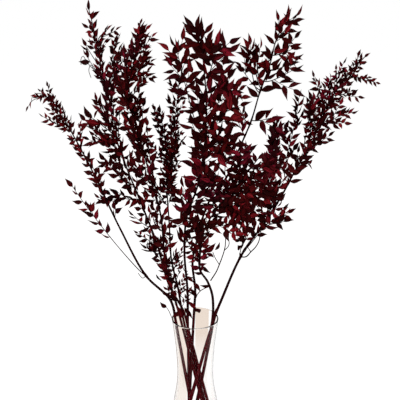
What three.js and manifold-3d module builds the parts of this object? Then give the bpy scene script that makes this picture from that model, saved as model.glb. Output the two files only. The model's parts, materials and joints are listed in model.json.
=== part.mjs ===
// Eight dried, burgundy ruscus stems standing in a waisted clear glass vase.
// Millimetres, +Z up. The origin is the centre of the vase's underside, and -Y is the front.

import * as THREE from 'three';
import { ConvexGeometry } from 'three/addons/geometries/ConvexGeometry.js';
import { mergeVertices } from 'three/addons/utils/BufferGeometryUtils.js';
import Module from 'manifold-3d';

const wasm = await Module();
wasm.setup();

const vase = {
  wall: 3,
  floor: 12,
  facets: 32,
  lipRound: 1.2,
  flat: 44, // radius of the flat underside
  // outer radius and height, from the foot's rounded corner up to the mouth
  outline: [[47.5, 2.5], [50, 12], [49.2, 34], [45.2, 60], [40.8, 86], [37.8, 116],
    [38.2, 146], [40.4, 182], [43.8, 216], [48, 250]],
};

const clearance = 0.3; // between pieces that touch
const stemGirth = { tip: 0.9, sides: 6, rings: 18, shrink: 0.8 };
const shootGirth = { foot: 0.9, tip: 0.45, sides: 4, rings: 5, shrink: 1 };
const straightShare = 0.8; // of the way from a foot to the mouth
const ringApart = 0.004; // rings of a stem closer than this share of its length are one
const crownShoots = 3; // the last shoots of a stem are one piece with it

// Per unit of a shoot's reach: how far it leaves its stem squarely, how far it sags and where, and
// how much of it is bare below its first leaf.
const shootBend = { leave: 0.16, sag: 0.08, sagAt: 0.6, bareShare: 0.12 };

const foliage = {
  spacing: 17, // along a twig, from one leaf to the next on its other side
  fewest: 3,
  start: 0.3, // of a spacing, before a twig's first leaf
  lift: 0.14, // height of a blade's edges over its midrib, per unit of width
  widest: 0.4, // place of the widest point along a leaf
  scale: [0.8, 1.1],
  shrink: 0.25, // of a leaf's size, from a twig's foot to its tip
  spread: [0.68, 0.98], // radians between a leaf and its twig
  tipSpread: 0.05,
  tipSunk: 1, // of a twig's last leaf, into the twig's end
  turn: [-0.4, 0.4], // radians round the twig
  twist: [-0.5, 0.5], // radians round the leaf's own length
  retries: [0, 0.5, -0.5, 1, -1, 1.5, -1.5], // further turns where another piece is in the way
  outward: 0.5, // pull of the bunch's outside on the way that leaves face
  front: new THREE.Vector3(0, -0.7, 0.3), // and the pull of the light
};

// A stem's route starts at its foot on the vase's floor and passes the mouth at its second point,
// and foot is its radius down there. A shoot leaves its stem at a share of the stem's length, reach
// is its tip from there, and its leaves start at the share of its own length that from gives.
const stems = [
  {
    name: 'left_arch',
    route: [[-3, -8], [-39.5, -14, 250], [-50, -10, 295], [-100, 10, 340], [-150, 25, 435],
      [-180, 35, 500], [-210, 45, 565], [-235, 50, 615], [-260, 55, 660], [-285, 60, 695],
      [-310, 60, 695]],
    foot: 4,
    leaf: { length: 20, width: 7.5, from: 0.58 },
    shoots: [
      { at: 0.455, reach: [-140, -15, 200], from: 0.5 },
      { at: 0.67, reach: [-28, -30, 105], from: 0.2 },
      { at: 0.825, reach: [0, 25, 45], from: 0.3 },
      { at: 0.88, reach: [-48, -25, 28] },
    ],
  },
  {
    name: 'left_tall',
    route: [[37.4, -15.8], [-24.5, 28, 250], [-55, 50, 300], [-80, 70, 385], [-115, 90, 475],
      [-140, 105, 535], [-165, 115, 610], [-175, 125, 680], [-190, 130, 750],
      [-200, 130, 815], [-210, 130, 865]],
    foot: 3.5,
    leaf: { length: 19, width: 7, from: 0.84 },
    shoots: [
      { at: 0.485, reach: [-40, -25, 40] },
      { at: 0.555, reach: [-65, -30, 20] },
      { at: 0.585, reach: [-70, 25, 58] },
      { at: 0.665, reach: [-55, -35, 55] },
      { at: 0.69, reach: [-75, 20, 50] },
      { at: 0.73, reach: [-30, -30, 65] },
      { at: 0.79, reach: [25, -35, 85] },
      { at: 0.815, reach: [20, 20, 100] },
      { at: 0.84, reach: [-42, 20, 50], from: 0.6 },
      { at: 0.87, reach: [-30, -15, 45], from: 0.6 },
      { at: 0.92, reach: [30, -20, 30] },
    ],
  },
  {
    name: 'left_mid',
    route: [[27, -29], [-34.5, 23, 250], [-60, 35, 350], [-70, 45, 460], [-85, 50, 515],
      [-100, 55, 580], [-120, 60, 655], [-130, 60, 705], [-120, 60, 750], [-110, 60, 790],
      [-100, 60, 830]],
    foot: 3.5,
    leaf: { length: 18, width: 8, from: 0.82 },
    shoots: [
      { at: 0.61, reach: [-35, -35, 70] },
      { at: 0.645, reach: [0, -40, 120], from: 0.3 },
      { at: 0.7, reach: [-30, -35, 88] },
      { at: 0.74, reach: [8, 30, 65], from: 0.6 },
      { at: 0.8, reach: [-20, -30, 70] },
      { at: 0.835, reach: [45, -35, 60], from: 0.3 },
      { at: 0.86, reach: [-10, 25, 75] },
      { at: 0.89, reach: [35, 20, 36] },
    ],
  },
  {
    name: 'back_mid',
    route: [[23.5, 33], [-24, -8, 250], [-35, 20, 305], [-50, 60, 355], [-55, 100, 415],
      [-60, 125, 485], [-60, 140, 550], [-65, 145, 600], [-75, 150, 655]],
    foot: 3.5,
    leaf: { length: 17, width: 6.5, from: 0.8 },
    shoots: [
      { at: 0.46, reach: [-35, -30, 55] },
      { at: 0.51, reach: [20, 30, 30], from: 0.6 },
      { at: 0.57, reach: [-70, -30, 50] },
      { at: 0.6, reach: [-30, -35, 55], from: 0.6 },
      { at: 0.705, reach: [-30, -40, 70] },
      { at: 0.755, reach: [24, -30, 105] },
      { at: 0.83, reach: [-35, -25, 60], from: 0.2 },
      { at: 0.875, reach: [-25, -15, 95], from: 0.6 },
    ],
  },
  {
    name: 'front_tall',
    route: [[-13, 4], [-15, -12, 250], [-15, -20, 320], [-20, -40, 410], [-15, -60, 490],
      [5, -75, 555], [15, -85, 610], [20, -95, 665], [20, -105, 730], [15, -110, 790],
      [10, -110, 845]],
    foot: 3.8,
    leaf: { length: 32, width: 12, from: 0.8 },
    shoots: [
      { at: 0.56, reach: [-25, -25, -5], from: 0.6 },
      { at: 0.61, reach: [-38, -35, 45] },
      { at: 0.67, reach: [-12, 30, 36], from: 0.6 },
      { at: 0.72, reach: [45, -35, 60] },
      { at: 0.745, reach: [-25, -35, 60], from: 0.6 },
      { at: 0.77, reach: [-55, 30, 165], from: 0.25 },
      { at: 0.79, reach: [52, -30, 54] },
      { at: 0.83, reach: [60, 35, 38] },
      { at: 0.86, reach: [-28, -35, 52], from: 0.4 },
      { at: 0.895, reach: [24, -25, 70] },
    ],
  },
  {
    name: 'right_tall',
    route: [[-15, 26], [-2.5, 24, 250], [0, 20, 305], [-5, 10, 370], [5, 0, 425],
      [25, -10, 500], [60, -15, 555], [85, -15, 615], [105, -15, 665], [120, -15, 720],
      [135, -20, 765], [145, -20, 810], [160, -20, 845], [165, -20, 865]],
    foot: 3.8,
    leaf: { length: 29, width: 11, from: 0.84 },
    shoots: [
      { at: 0.515, reach: [-30, -30, -15] },
      { at: 0.575, reach: [-10, 35, 45] },
      { at: 0.63, reach: [0, 35, 65] },
      { at: 0.675, reach: [30, -35, 30], from: 0.6 },
      { at: 0.73, reach: [-15, 30, 25] },
      { at: 0.755, reach: [-30, -30, 50], from: 0.4 },
      { at: 0.765, reach: [44, -30, 12], from: 0.2 },
      { at: 0.825, reach: [-28, -25, 90], from: 0.5 },
      { at: 0.85, reach: [58, -30, 28] },
      { at: 0.905, reach: [46, 25, 10] },
      { at: 0.945, reach: [40, 20, 40], from: 0.2 },
    ],
  },
  {
    name: 'right_low',
    route: [[-24, -24], [34.5, -21, 250], [35, -25, 310], [25, -30, 345], [10, -40, 375],
      [10, -45, 410], [15, -55, 455], [40, -70, 510], [70, -80, 550], [95, -85, 585],
      [120, -85, 620]],
    foot: 4.5,
    leaf: { length: 30, width: 12, from: 0.76 },
    shoots: [
      { at: 0.6, reach: [-25, -30, 60], from: 0.2 },
      { at: 0.64, reach: [20, 12, -14], from: 0.6 },
      { at: 0.695, reach: [-35, -35, 50] },
      { at: 0.73, reach: [50, -30, 14], from: 0.3 },
      { at: 0.79, reach: [-5, -40, 90] },
      { at: 0.81, reach: [76, 30, -36] },
      { at: 0.865, reach: [66, -35, 15] },
      { at: 0.905, reach: [-4, -35, 75] },
      { at: 0.95, reach: [55, -25, 20] },
    ],
  },
  {
    name: 'right_arch',
    route: [[-1, 14], [40.8, 6, 250], [55, 15, 285], [95, 25, 380], [135, 30, 440],
      [170, 30, 500], [200, 25, 565], [225, 15, 615], [240, 5, 675], [265, -5, 725],
      [285, -10, 755], [310, -15, 785]],
    foot: 4.2,
    leaf: { length: 24, width: 9.5, from: 0.76 },
    shoots: [
      { at: 0.445, reach: [5, -35, 75], from: 0.3 },
      { at: 0.465, reach: [40, 30, 38], from: 0.6 },
      { at: 0.535, reach: [50, -25, 42] },
      { at: 0.575, reach: [4, -30, 198] },
      { at: 0.62, reach: [-40, -40, 85], from: 0.3 },
      { at: 0.66, reach: [12, -10, 180] },
      { at: 0.715, reach: [25, 22, -5], from: 0.6 },
      { at: 0.745, reach: [42, 25, 40] },
      { at: 0.78, reach: [-16, -30, 88] },
      { at: 0.815, reach: [48, -20, 30] },
      { at: 0.855, reach: [-10, 30, 45] },
      { at: 0.89, reach: [42, 25, 4], from: 0.2 },
      { at: 0.91, reach: [-10, -15, 40] },
      { at: 0.945, reach: [45, 20, -10], from: 0.2 },
    ],
  },
];

const glassMaterial = () => new THREE.MeshStandardMaterial({
  color: 0xdfe9e6, roughness: 0.05, metalness: 0, transparent: true, opacity: 0.35,
});
const stemMaterial = () => new THREE.MeshStandardMaterial({
  color: 0x2a080d, roughness: 0.62, metalness: 0,
});
const leafMaterial = () => new THREE.MeshStandardMaterial({
  color: 0x47060f, roughness: 0.5, metalness: 0,
});

// Repeatable numbers from 0 to 1 (mulberry32).
function makeRandom(seed) {
  let state = seed;
  return () => {
    state = (state + 0x6d2b79f5) | 0;
    let mixed = Math.imul(state ^ (state >>> 15), 1 | state);
    mixed = (mixed + Math.imul(mixed ^ (mixed >>> 7), 61 | mixed)) ^ mixed;
    return ((mixed ^ (mixed >>> 14)) >>> 0) / 2 ** 32;
  };
}
const random = makeRandom(11);
const between = ([low, high]) => low + (high - low) * random();

function toSolid(geometry) {
  geometry.deleteAttribute('normal');
  geometry.deleteAttribute('uv');
  const merged = mergeVertices(geometry);
  return new wasm.Manifold(new wasm.Mesh({
    numProp: 3,
    vertProperties: Float32Array.from(merged.attributes.position.array),
    triVerts: Uint32Array.from(merged.index.array),
  }));
}

function toGeometry(solid) {
  const mesh = solid.getMesh();
  const geometry = new THREE.BufferGeometry();
  geometry.setAttribute('position', new THREE.BufferAttribute(mesh.vertProperties, 3));
  geometry.setIndex(new THREE.BufferAttribute(mesh.triVerts, 1));
  return geometry;
}

// The glass is one turned profile: up its outside, over the lip and down its inside.
function vaseGeometry() {
  const outside = new THREE.SplineCurve(vase.outline.map(([r, z]) => new THREE.Vector2(r, z)));
  const outer = outside.getSpacedPoints(vase.outline.length);
  const inner = outer.map(({ x, y }) => new THREE.Vector2(x - vase.wall, y))
    .filter(({ y }) => y > vase.floor + vase.wall);
  const mouth = outer.pop();
  inner.pop();
  const profile = [
    new THREE.Vector2(0, 0),
    new THREE.Vector2(vase.flat, 0),
    ...outer,
    new THREE.Vector2(mouth.x, mouth.y - vase.lipRound),
    new THREE.Vector2(mouth.x - vase.lipRound, mouth.y),
    new THREE.Vector2(mouth.x - vase.wall + vase.lipRound, mouth.y),
    new THREE.Vector2(mouth.x - vase.wall, mouth.y - vase.lipRound),
    ...inner.reverse(),
    new THREE.Vector2(vase.flat, vase.floor),
    new THREE.Vector2(0, vase.floor),
  ];
  return new THREE.LatheGeometry(profile, vase.facets);
}

function girthAt(girth, along) {
  return girth.foot + (girth.tip - girth.foot) * along ** girth.shrink;
}

const xAxis = new THREE.Vector3(1, 0, 0);
const zAxis = new THREE.Vector3(0, 0, 1);

// A closed tapering tube: an upright cylinder whose rings are moved to stations along a curve.
function tube(curve, stations, girth) {
  const geometry = new THREE.CylinderGeometry(1, 1, 1, girth.sides, stations.length - 1);
  const side = new THREE.Vector3();
  const rings = stations.map((along, index) => {
    const centre = curve.getPointAt(along);
    const forward = curve.getTangentAt(along);
    if (index === 0) side.copy(Math.abs(forward.x) < 0.7 ? xAxis : zAxis);
    side.addScaledVector(forward, -side.dot(forward)).normalize();
    return { centre, side: side.clone(), depth: side.clone().cross(forward), radius: girthAt(girth, along) };
  });
  const place = geometry.attributes.position;
  const point = new THREE.Vector3();
  for (let i = 0; i < place.count; i += 1) {
    const ring = rings[Math.round((place.getY(i) + 0.5) * (rings.length - 1))];
    point.copy(ring.centre)
      .addScaledVector(ring.side, place.getX(i) * ring.radius)
      .addScaledVector(ring.depth, place.getZ(i) * ring.radius);
    place.setXYZ(i, ...point);
  }
  return toSolid(geometry);
}

function evenStations(count) {
  return Array.from({ length: count + 1 }, (_, i) => i / count);
}

// The point at a share of a twig's length, on the straight axis between two of its tube's rings.
function axisPoint({ curve, stations }, along) {
  const next = Math.max(1, stations.findIndex((station) => station >= along));
  const [from, to] = [stations[next - 1], stations[next]];
  return curve.getPointAt(from).lerp(curve.getPointAt(to), (along - from) / (to - from));
}

// A stem is straight inside the vase. Its foot's cut end is square, so a leaning stem stands on its heel.
function stemCurve([footPlace, ...route], girth) {
  const [mouth, ...rest] = route.map((point) => new THREE.Vector3(...point));
  const foot = new THREE.Vector3(...footPlace, vase.floor + clearance);
  const run = Math.hypot(mouth.x - foot.x, mouth.y - foot.y);
  foot.z += girth.foot * run / mouth.distanceTo(foot);
  return new THREE.CatmullRomCurve3([foot, foot.clone().lerp(mouth, straightShare), mouth, ...rest]);
}

// A shoot starts square to its stem's surface, or on its axis where it is joined, then turns to its tip.
function shootCurve(stem, girth, { at, reach }, joined) {
  const node = stem.getPointAt(at);
  const along = stem.getTangentAt(at);
  const arm = new THREE.Vector3(...reach);
  const outward = arm.clone().addScaledVector(along, -arm.dot(along)).normalize();
  const start = joined ? 0 : girthAt(girth, at) + clearance + 0.05;
  const base = node.clone().addScaledVector(outward, start);
  const tip = node.clone().add(arm);
  const leave = base.clone().addScaledVector(outward, arm.length() * shootBend.leave);
  const arrive = base.clone().lerp(tip, shootBend.sagAt);
  arrive.z -= arm.length() * shootBend.sag;
  return new THREE.CubicBezierCurve3(base, leave, arrive, tip);
}

// A leaf is a thin blade folded along its midrib: pointed at both ends, widest before its middle.
function leafSolid(base, forward, across, size) {
  const lift = forward.clone().cross(across).multiplyScalar(size.width * foliage.lift);
  const widest = base.clone().addScaledVector(forward, size.length * foliage.widest).add(lift);
  const tip = base.clone().addScaledVector(forward, size.length);
  const left = widest.clone().addScaledVector(across, size.width / 2);
  const right = widest.clone().addScaledVector(across, -size.width / 2);
  return toSolid(new ConvexGeometry([base, tip, left, right]));
}

// The direction that a twig's leaves face: away from the bunch, to the front and a little up.
function facing(point, along) {
  const outward = new THREE.Vector3(point.x, point.y, 0).setLength(foliage.outward);
  outward.add(foliage.front);
  return outward.addScaledVector(along, -outward.dot(along)).normalize();
}

// Every solid that has its place, with its owner, so that leaves keep clear of other pieces.
const placed = [];

function settle(owner, solid) {
  placed.push({ owner, solid, box: solid.boundingBox() });
  owner.solids.push(solid);
}

function isClear(owner, solid) {
  const box = solid.boundingBox();
  return placed.every((other) => other.owner === owner
    || [0, 1, 2].some((axis) => other.box.min[axis] > box.max[axis] + clearance
      || other.box.max[axis] < box.min[axis] - clearance)
    || solid.minGap(other.solid, 2 * clearance) >= clearance);
}

function growLeaf(owner, twig, along, hand) {
  const { leaf } = twig;
  const base = axisPoint(twig, along);
  const forward = twig.curve.getTangentAt(along);
  const normal = facing(base, forward);
  const scale = between(foliage.scale) * (1 - foliage.shrink * along);
  const size = { length: leaf.length * scale, width: leaf.width * scale };
  const spread = hand === 0 ? foliage.tipSpread : between(foliage.spread);
  const twist = between(foliage.twist);
  const turn = between(foliage.turn);
  for (const retry of foliage.retries) {
    const aside = normal.clone().cross(forward).multiplyScalar(hand || 1)
      .applyAxisAngle(forward, turn + retry);
    const direction = forward.clone().multiplyScalar(Math.cos(spread))
      .addScaledVector(aside, Math.sin(spread));
    const across = forward.clone().cross(aside).cross(direction).applyAxisAngle(direction, twist);
    const root = hand === 0 ? base.clone().addScaledVector(forward, -foliage.tipSunk) : base;
    const blade = leafSolid(root, direction, across.normalize(), size);
    if (isClear(owner, blade)) {
      settle(owner, blade);
      return;
    }
  }
}

function growLeaves(owner, twig) {
  const leafyShare = 1 - twig.from;
  const length = twig.curve.getLength() * leafyShare;
  const count = Math.max(foliage.fewest, Math.round(length / foliage.spacing));
  for (let i = 0; i < count; i += 1) {
    growLeaf(owner, twig, twig.from + leafyShare * (i + foliage.start) / count, i % 2 ? 1 : -1);
  }
  growLeaf(owner, twig, 1, 0);
}

const sprays = [];

for (const { name, route, foot, leaf, shoots } of stems) {
  const girth = { ...stemGirth, foot };
  const curve = stemCurve(route, girth);
  const joinedFrom = shoots.length - crownShoots;
  const stations = [...evenStations(stemGirth.rings), ...shoots.map(({ at }) => at)]
    .sort((a, b) => a - b)
    .filter((along, i, all) => i === 0 || along - all[i - 1] > ringApart);
  const stem = { name: `${name}_stem`, material: stemMaterial(), solids: [], twigs: [] };
  stem.twigs.push({ curve, stations, leaf, from: leaf.from });
  settle(stem, tube(curve, stations, girth));
  sprays.push(stem);
  shoots.forEach((shoot, index) => {
    const joined = index >= joinedFrom;
    const owner = joined ? stem : {
      name: `${name}_shoot_${index + 1}`, material: leafMaterial(), solids: [], twigs: [],
    };
    if (!joined) sprays.push(owner);
    const twig = {
      curve: shootCurve(curve, girth, shoot, joined),
      stations: evenStations(shootGirth.rings),
      leaf,
      from: shoot.from ?? shootBend.bareShare,
    };
    owner.twigs.push(twig);
    settle(owner, tube(twig.curve, twig.stations, shootGirth));
  });
}

for (const spray of sprays) {
  spray.twigs.forEach((twig) => growLeaves(spray, twig));
}

const arrangement = new THREE.Group();

const glass = new THREE.Mesh(vaseGeometry(), glassMaterial());
glass.name = 'glass_vase';
glass.rotation.x = Math.PI / 2;
arrangement.add(glass);

for (const { name, material, solids } of sprays) {
  const mesh = new THREE.Mesh(toGeometry(wasm.Manifold.union(solids)), material);
  mesh.name = name;
  arrangement.add(mesh);
}

export default arrangement;
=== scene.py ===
import json
import math
import random

import bpy
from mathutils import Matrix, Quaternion, Vector

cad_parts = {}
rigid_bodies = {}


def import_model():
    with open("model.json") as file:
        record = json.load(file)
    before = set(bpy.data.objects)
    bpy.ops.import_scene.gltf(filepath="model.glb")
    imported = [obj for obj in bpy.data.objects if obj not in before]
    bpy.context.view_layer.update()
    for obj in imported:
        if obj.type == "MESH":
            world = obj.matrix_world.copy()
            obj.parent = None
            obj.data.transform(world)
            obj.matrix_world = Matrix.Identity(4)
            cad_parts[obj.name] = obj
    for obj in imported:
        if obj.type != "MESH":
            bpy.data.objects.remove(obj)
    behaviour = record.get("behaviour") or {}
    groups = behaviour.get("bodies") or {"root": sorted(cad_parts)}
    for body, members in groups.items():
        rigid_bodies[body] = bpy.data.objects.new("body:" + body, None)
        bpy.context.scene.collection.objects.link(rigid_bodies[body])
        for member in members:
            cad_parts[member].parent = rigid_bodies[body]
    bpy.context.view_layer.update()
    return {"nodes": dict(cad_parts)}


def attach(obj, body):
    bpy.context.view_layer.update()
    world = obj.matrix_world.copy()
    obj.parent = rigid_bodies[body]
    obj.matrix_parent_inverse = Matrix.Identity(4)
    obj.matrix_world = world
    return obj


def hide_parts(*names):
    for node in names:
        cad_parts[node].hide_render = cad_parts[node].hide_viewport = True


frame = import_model()

# Eight dried burgundy ruscus stems in a waisted clear glass vase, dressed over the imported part.
# Metres, +Z up. The origin is the centre of the vase's underside, and -Y is the front.

scene = bpy.context.scene
mm = 0.001
up = Vector((0, 0, 1))


def addObject(name, data):
    made = bpy.data.objects.new(name, data)
    scene.collection.objects.link(made)
    return made


def newMesh(name, points, faces, *materials, edges=(), smooth=False):
    mesh = bpy.data.meshes.new(name)
    mesh.from_pydata(points, edges, faces)
    for material in materials:
        mesh.materials.append(material)
    if smooth:
        mesh.polygons.foreach_set("use_smooth", [True] * len(mesh.polygons))
    return mesh


def ringFaces(size, rows):
    # faces over rings of points, with one point before the first ring and one after the last
    pairs = [(i, (i + 1) % size) for i in range(size)]
    top = 1 + size * (rows - 1)
    faces = [(0, 1 + j, 1 + i) for i, j in pairs]
    for low in range(1, top, size):
        faces += [(low + i, low + j, low + size + j, low + size + i) for i, j in pairs]
    return faces + [(top + i, top + j, top + size) for i, j in pairs]


def connect(tree, node, inputs):
    # values, or other nodes' outputs, on a node's inputs
    for socket, value in inputs.items():
        if isinstance(value, bpy.types.NodeSocket):
            tree.links.new(value, node.inputs[socket])
        else:
            node.inputs[socket].default_value = value


def newNode(tree, kind, inputs=(), **settings):
    made = tree.nodes.new(kind)
    for name, value in settings.items():
        setattr(made, name, value)
    connect(tree, made, dict(inputs))
    return made


def put(tree, kind, inputs=(), **settings):
    # the outputs of a new node
    return newNode(tree, kind, inputs, **settings).outputs


def arithmetic(tree, operation, a, b=0.0):
    return put(tree, "ShaderNodeMath", {0: a, 1: b}, operation=operation)[0]


def minus(tree, a, b):
    return arithmetic(tree, "SUBTRACT", a, b)


def times(tree, a, b):
    return arithmetic(tree, "MULTIPLY", a, b)


def mixColours(tree, share, a, b):
    return put(tree, "ShaderNodeMix", {0: share, 6: a, 7: b}, data_type="RGBA")[2]


def fadeByHeight(tree, start, stop):
    # 0 at the first height over the table, and 1 at the second
    spot = put(tree, "ShaderNodeTexCoord")["Object"]
    height = put(tree, "ShaderNodeSeparateXYZ", {0: spot})[2]
    return put(tree, "ShaderNodeMapRange", {0: height, 1: start, 2: stop})[0]


def emptyTree(holder):
    # the node tree of a new world or material, with nothing in it
    holder.use_nodes = True
    holder.node_tree.nodes.clear()
    return holder.node_tree


# the camera, the lights, the floor and two glowing cards behind the glass, for painted reflections
# in it
studio = {
    "lens": 63,
    "sensor": 36,
    "eye": (0.010, -1.293, 0.932),
    "pitch": 18.27,  # degrees below the horizon
    # brightness where it is looked at, seen through glass, mirrored in glass, shining on leaves,
    # and lighting all the rest
    "sky": (1.02, 1.05, 2.0, 0.06, 0.50),
    "floorPaint": (0.21, 0.21, 0.05, 0.06, 0.86),
    "floorGlow": (0.74, 0.76, 0.12, 0.0, 0.0),
    "floorRadius": 45,
    "floorSides": 96,
    "floorDrop": 0.0004,  # under the vase, so that the two don't share a plane
    "lamps": {
        # place, size, watts, colour, whether it shines on leaves
        "keyLamp": ((-1.2, -1.9, 2.4), 1.5, 52, (1.0, 0.97, 0.94), True),
        "fillLamp": ((1.9, -1.5, 1.2), 1.4, 15, (0.96, 0.97, 1.0), False),
        "backLamp": ((0.6, 2.0, 2.0), 1.8, 24, (1.0, 1.0, 1.0), False),
    },
    "lampAim": (0, 0, 0.5),
    "sun": (2.4, 100),  # strength, and how wide it is in degrees
    "sunTilt": (12, -10),
    # pale glowing cards behind the vase, seen only through its glass, that put painted beige
    # reflections in it: left and right edge, the height where the colour has faded to white and
    # where it is full, and the colour
    "cards": {
        "leftCard": (-0.075, -0.021, -0.1, 0.1, (0.93, 0.83, 0.75)),
        "middleCard": (0.0, 0.030, 0.09, 0.18, (0.85, 0.74, 0.65)),
    },
    "cardPlace": (0.062, 0.3),  # y and top
    "cardWhite": (1.02, 1.02, 1.02, 1),
}


def buildCamera():
    data = bpy.data.cameras.new("studioCamera")
    data.lens, data.sensor_width = studio["lens"], studio["sensor"]
    holder = addObject("studioCamera", data)
    holder.location = studio["eye"]
    holder.rotation_euler = (math.radians(90 - studio["pitch"]), 0, 0)
    scene.camera = holder


def buildLamps():
    for name, (place, size, watts, colour, shines) in studio["lamps"].items():
        data = bpy.data.lights.new(name, "AREA")
        data.shape, data.size, data.energy, data.color = "DISK", size, watts, colour
        lamp = addObject(name, data)
        lamp.location = place
        aim = Vector(studio["lampAim"]) - lamp.location
        lamp.rotation_euler = aim.to_track_quat("-Z", "Y").to_euler()
        lamp.visible_glossy = shines
    data = bpy.data.lights.new("skyLamp", "SUN")
    strength, width = studio["sun"]
    data.energy, data.angle = strength, math.radians(width)
    lamp = addObject("skyLamp", data)
    lamp.rotation_euler = (*[math.radians(tilt) for tilt in studio["sunTilt"]], 0)
    lamp.visible_glossy = False


def byPath(tree, levels):
    # a brightness by how the light gets to the eye, in the order of the levels in studio
    path = put(tree, "ShaderNodeLightPath")
    looked, through, sharp, soft, value = levels
    mirrored = times(tree, path["Is Glossy Ray"], path["Is Singular Ray"])
    for test, level in ((path["Is Glossy Ray"], soft), (mirrored, sharp),
                        (path["Is Transmission Ray"], through), (path["Is Camera Ray"], looked)):
        value = put(tree, "ShaderNodeMix", {0: test, 2: value, 3: level}, data_type="FLOAT")[0]
    return value


def buildBackdrop():
    world = bpy.data.worlds.new("studioWorld")
    tree = emptyTree(world)
    light = put(tree, "ShaderNodeBackground", {
        "Color": (1, 1, 1, 1), "Strength": byPath(tree, studio["sky"])})[0]
    put(tree, "ShaderNodeOutputWorld", {"Surface": light})
    scene.world = world
    scene.view_settings.view_transform = "Standard"


def buildFloor():
    material = bpy.data.materials.new("paleFloor")
    tree = emptyTree(material)
    matte = put(tree, "ShaderNodeBsdfDiffuse", {"Color": byPath(tree, studio["floorPaint"])})[0]
    glow = put(tree, "ShaderNodeEmission", {"Strength": byPath(tree, studio["floorGlow"])})[0]
    both = put(tree, "ShaderNodeAddShader", {0: matte, 1: glow})[0]
    put(tree, "ShaderNodeOutputMaterial", {"Surface": both})
    sides, radius = studio["floorSides"], studio["floorRadius"]
    ring = [(radius * math.cos(math.tau * i / sides), radius * math.sin(math.tau * i / sides),
             -studio["floorDrop"]) for i in range(sides)]
    floor = addObject("studioFloor", newMesh("studioFloor", ring, [tuple(range(sides))], material))


def buildCards():
    y, top = studio["cardPlace"]
    for name, (left, right, white, full, colour) in studio["cards"].items():
        material = bpy.data.materials.new(name)
        tree = emptyTree(material)
        # a glowing card seen only through the glass: a painted beige reflection
        shade = mixColours(tree, fadeByHeight(tree, white, full), studio["cardWhite"], (*colour, 1))
        glow = put(tree, "ShaderNodeEmission", {"Color": shade, "Strength": 1.0})[0]
        put(tree, "ShaderNodeOutputMaterial", {"Surface": glow})
        corners = [(left, y, 0), (right, y, 0), (right, y, top), (left, y, top)]
        card = addObject(name, newMesh(name, corners, [(0, 1, 2, 3)], material))
        card.visible_camera = card.visible_diffuse = card.visible_glossy = False
        card.visible_shadow = False


buildCamera()
buildLamps()
buildBackdrop()
buildFloor()
buildCards()
print("studio ready")


# a line is a list of points
def evenLine(points, step, least=3):
    # the same line with points at even steps of about this length
    run = [0.0]
    for a, b in zip(points, points[1:]):
        run.append(run[-1] + (b - a).length)
    count = max(least, math.ceil(run[-1] / step))
    line, i = [], 0
    for k in range(count + 1):
        along = run[-1] * k / count
        while i < len(run) - 2 and run[i + 1] < along:
            i += 1
        line.append(points[i].lerp(points[i + 1], (along - run[i]) / (run[i + 1] - run[i])))
    return line


def cubic(a, b, leave, arrive, t):
    # a point on the way from a to b, for the speeds at both ends
    return (a + leave * t + (3 * (b - a) - 2 * leave - arrive) * t**2
            + (2 * (a - b) + leave + arrive) * t**3)


def throughPoints(points, steps=40):
    # a centripetal curve through all the points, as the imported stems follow
    ends = [2 * points[0] - points[1], *points, 2 * points[-1] - points[-2]]
    line = [points[0]]
    for a, b, c, d in zip(ends, ends[1:], ends[2:], ends[3:]):
        ab, bc, cd = math.sqrt((b - a).length), math.sqrt((c - b).length), math.sqrt((d - c).length)
        leave = ((b - a) / ab - (c - a) / (ab + bc) + (c - b) / bc) * bc
        arrive = ((c - b) / bc - (d - b) / (bc + cd) + (d - c) / cd) * bc
        line += [cubic(b, c, leave, arrive, k / steps) for k in range(1, steps + 1)]
    return line


def bezier(a, b, c, d, steps=24):
    return [a * (1 - t)**3 + b * 3 * t * (1 - t)**2 + c * 3 * t**2 * (1 - t) + d * t**3
            for t in (k / steps for k in range(steps + 1))]


def pointAt(line, share):
    at = share * (len(line) - 1)
    i = min(int(at), len(line) - 2)
    return line[i].lerp(line[i + 1], at - i)


def tangentAt(line, share):
    at = min(int(share * (len(line) - 1)), len(line) - 2)
    low, high = max(0, at - 1), min(len(line) - 1, at + 2)
    return (line[high] - line[low]).normalized()


def lengthOf(line):
    return sum((b - a).length for a, b in zip(line, line[1:]))


growth = {
    "footRadius": 3.5,
    "tipRadius": 0.9,
    "shrink": 0.8,  # below 1 a stem thins out early
    "shootRadius": (1.05, 0.55),  # where it starts and at its tip
    "sprigRadius": (0.65, 0.42),
    "vaseFloor": 12,
    "clearance": 0.3,
    "straightShare": 0.8,  # of a stem's way from its foot to the mouth
    "frontPull": Vector((0, -0.7, 0.3)),
    "outwardPull": 0.5,
    "knotSwell": 0.28,  # of a stem's radius where a shoot leaves it
    "knotLength": 5,
    "stemStep": 3,  # between the points of a line
    "twigStep": 4,
    "usualShoot": (1, 0.12),  # fullness and bare share
    "shootStart": 0.16,  # of its reach, square to the stem
    "shootSag": (0.6, 0.08),  # where on its way it sags, and by how much of its reach
    "leafPastTip": 0.4,  # of a leaf's length
    "twigletTurn": 0.8,  # around its twig, most
    "twigletBend": 0.6,  # how straight it goes on to its middle
    "twigletRise": (0.3, -0.1, 0.25),  # on along the twig, and the least and most upwards
    "twigletLength": (0.7, 1.25, 0.45),  # least, most, and the loss towards the twig's end
    "twigletGap": (0.6, 0.03),  # of their spacing, and of a shoot after its bare part
    "twigletBare": 0.3,
    "twigletLeaves": (0.95, 0.8),  # sizes of its first and its last leaf
    "shootLastLeaf": 0.8,
    "lowLeaves": (0.5, 0.15),  # they are smaller up to here on the stem, and grow over this share
    "tipLeaves": (0.6, 0.4),  # and from here on they get smaller again
    "loneLeaf": 1.15,  # of the way from its base to its tip
}

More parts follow.
